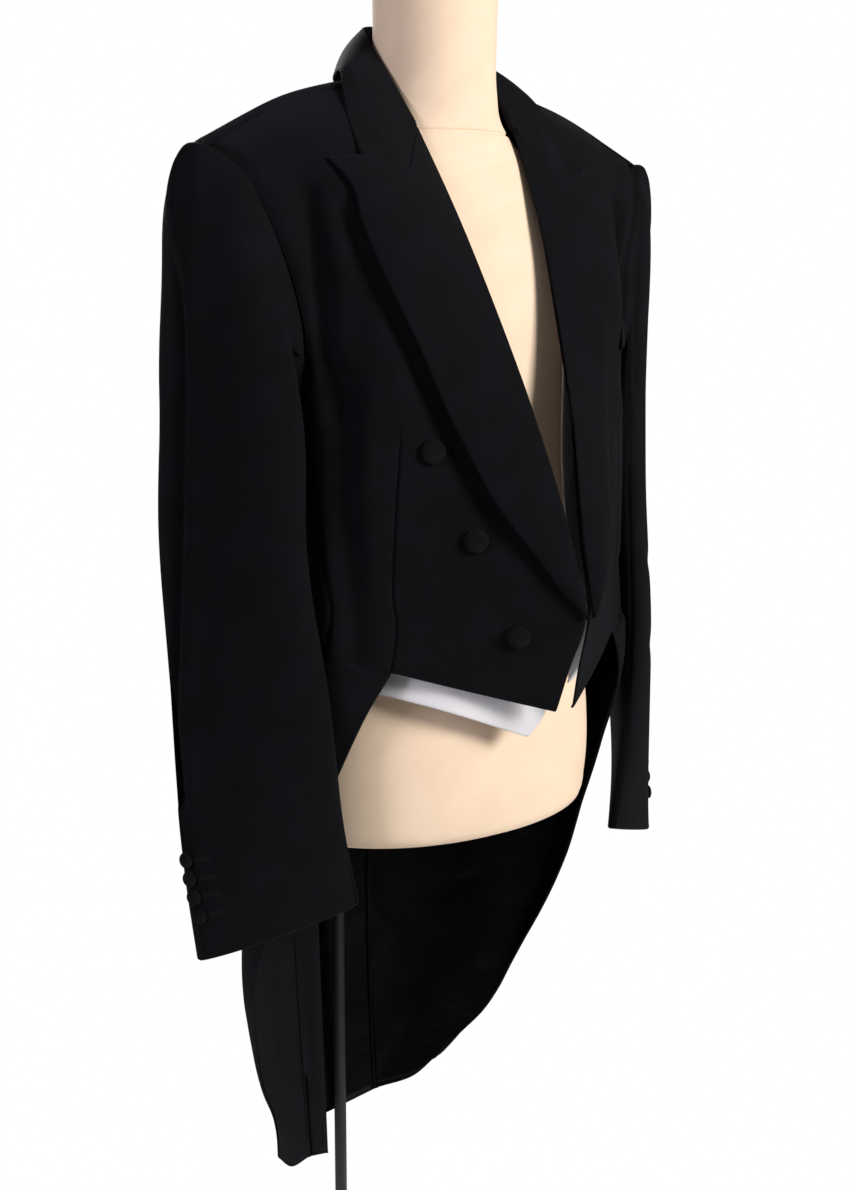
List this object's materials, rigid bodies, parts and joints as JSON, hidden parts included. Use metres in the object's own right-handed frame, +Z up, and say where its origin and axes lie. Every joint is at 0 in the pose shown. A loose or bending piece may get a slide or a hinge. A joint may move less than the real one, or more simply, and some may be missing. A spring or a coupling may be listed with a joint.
{
  "type": "evening tailcoat and waistcoat on a dress form",
  "caption": "Black evening tailcoat over an open white waistcoat, on a limbless cream dress form with a slim steel stand.",
  "frame": {"origin": "middle of the base plate's underside, on the floor below the form's neck", "axes": "+Z up; the wearer faces -Y, so the wearer's left side is +X"},
  "size_m": [0.522, 0.3722, 1.5843],
  "materials": {
    "black_wool": "matt barathea",
    "black_satin": "satin",
    "covered_button": "woven, matt",
    "white_marcella": "matt, fine honeycomb weave",
    "cream_jersey": "matt jersey",
    "black_steel": "satin paint"
  },
  "bodies": {
    "root": {"base_plate": "black_steel", "breast_welt": "black_wool", "coat_back_left": "black_wool", "coat_back_right": "black_wool", "coat_front_left": "black_wool", "coat_front_right": "black_wool", "collar": "black_wool", "cuff_button_left_1": "covered_button", "cuff_button_left_2": "covered_button", "cuff_button_left_3": "covered_button", "cuff_button_left_4": "covered_button", "cuff_button_right_1": "covered_button", "cuff_button_right_2": "covered_button", "cuff_button_right_3": "covered_button", "cuff_button_right_4": "covered_button", "form_bracket": "black_steel", "form_torso": "cream_jersey", "front_button_left_1": "covered_button", "front_button_left_2": "covered_button", "front_button_left_3": "covered_button", "front_button_right_1": "covered_button", "front_button_right_2": "covered_button", "front_button_right_3": "covered_button", "lapel_left": "black_wool", "lapel_right": "black_wool", "neck_cap": "cream_jersey", "pole": "black_steel", "pole_foot": "black_steel", "side_body_left": "black_wool", "side_body_right": "black_wool", "skirt_left": "black_wool", "skirt_lining_left": "black_satin", "skirt_lining_right": "black_satin", "skirt_right": "black_wool", "tail_lining_left": "black_satin", "tail_lining_right": "black_satin", "top_sleeve_left": "black_wool", "top_sleeve_right": "black_wool", "under_sleeve_left": "black_wool", "under_sleeve_right": "black_wool", "waistcoat_back": "white_marcella", "waistcoat_front_left": "white_marcella", "waistcoat_front_right": "white_marcella"}
  },
  "joints": []
}
